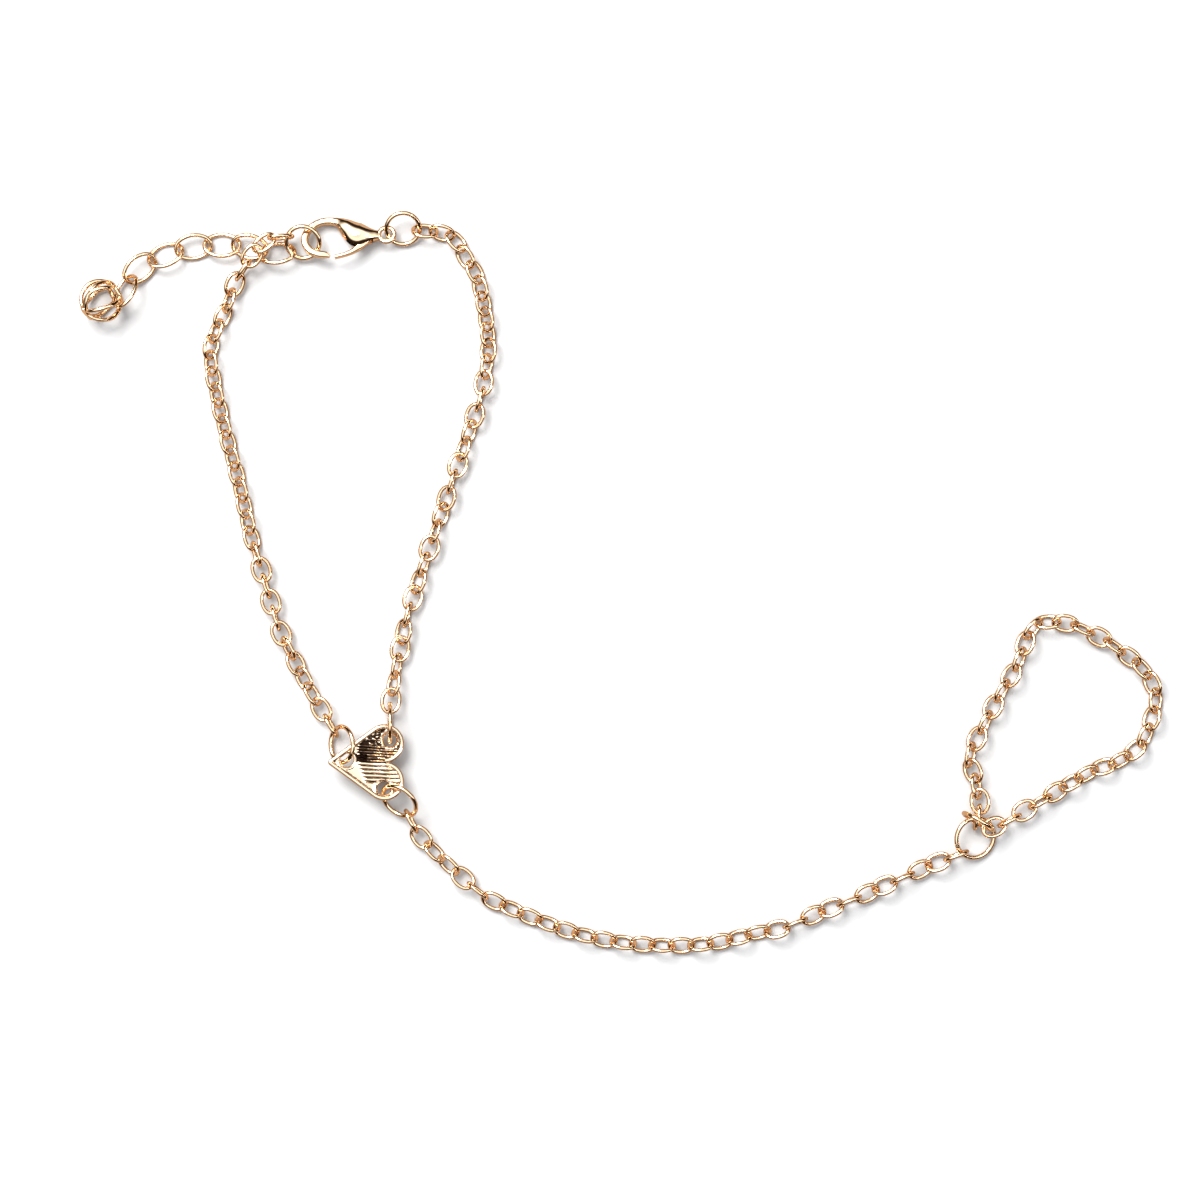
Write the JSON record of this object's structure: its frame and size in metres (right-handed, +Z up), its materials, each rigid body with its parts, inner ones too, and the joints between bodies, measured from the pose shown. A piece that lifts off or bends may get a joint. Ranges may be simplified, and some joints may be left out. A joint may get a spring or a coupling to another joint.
{
  "type": "hand chain bracelet",
  "caption": "Fine-link wrist chain with lobster clasp and ball extender, joined by a heart link to a back-of-hand chain and a finger loop, lying open.",
  "frame": {"origin": "middle of the base of the whole piece as it lies on a table", "axes": "+X from the extender ball towards the finger loop, +Y from the hand chain towards the clasp, +Z up off the table"},
  "size_m": [0.1406, 0.0966, 0.0057],
  "materials": {
    "fine_chain": "polished rose gold plate",
    "rings": "polished rose gold plate",
    "cast_parts": "polished rose gold plate",
    "clasp": "polished rose gold plate"
  },
  "bodies": {
    "bracelet": {"wrist_chain_left": "fine_chain", "wrist_chain_right": "fine_chain", "hand_chain": "fine_chain", "finger_chain": "fine_chain", "extender_chain": "rings", "extender_ball": "cast_parts", "clasp_body": "clasp", "clasp_rivet": "clasp", "clasp_ring": "rings", "extender_ring": "rings", "heart": "cast_parts", "heart_tip_ring": "rings", "heart_upper_ring": "rings", "heart_lower_ring": "rings", "finger_ring": "rings", "finger_link_ring": "rings"},
    "lever": {"clasp_lever": "clasp"}
  },
  "joints": [
    {"name": "lever_hinge", "type": "hinge", "parent": "bracelet", "child": "lever", "pos_m": [-0.03325, 0.04482, 0.0016], "axis": [0, -0.2588, -0.9659], "range_deg": [0, 24], "stiffness_Nm_per_rad": 0.0002}
  ]
}
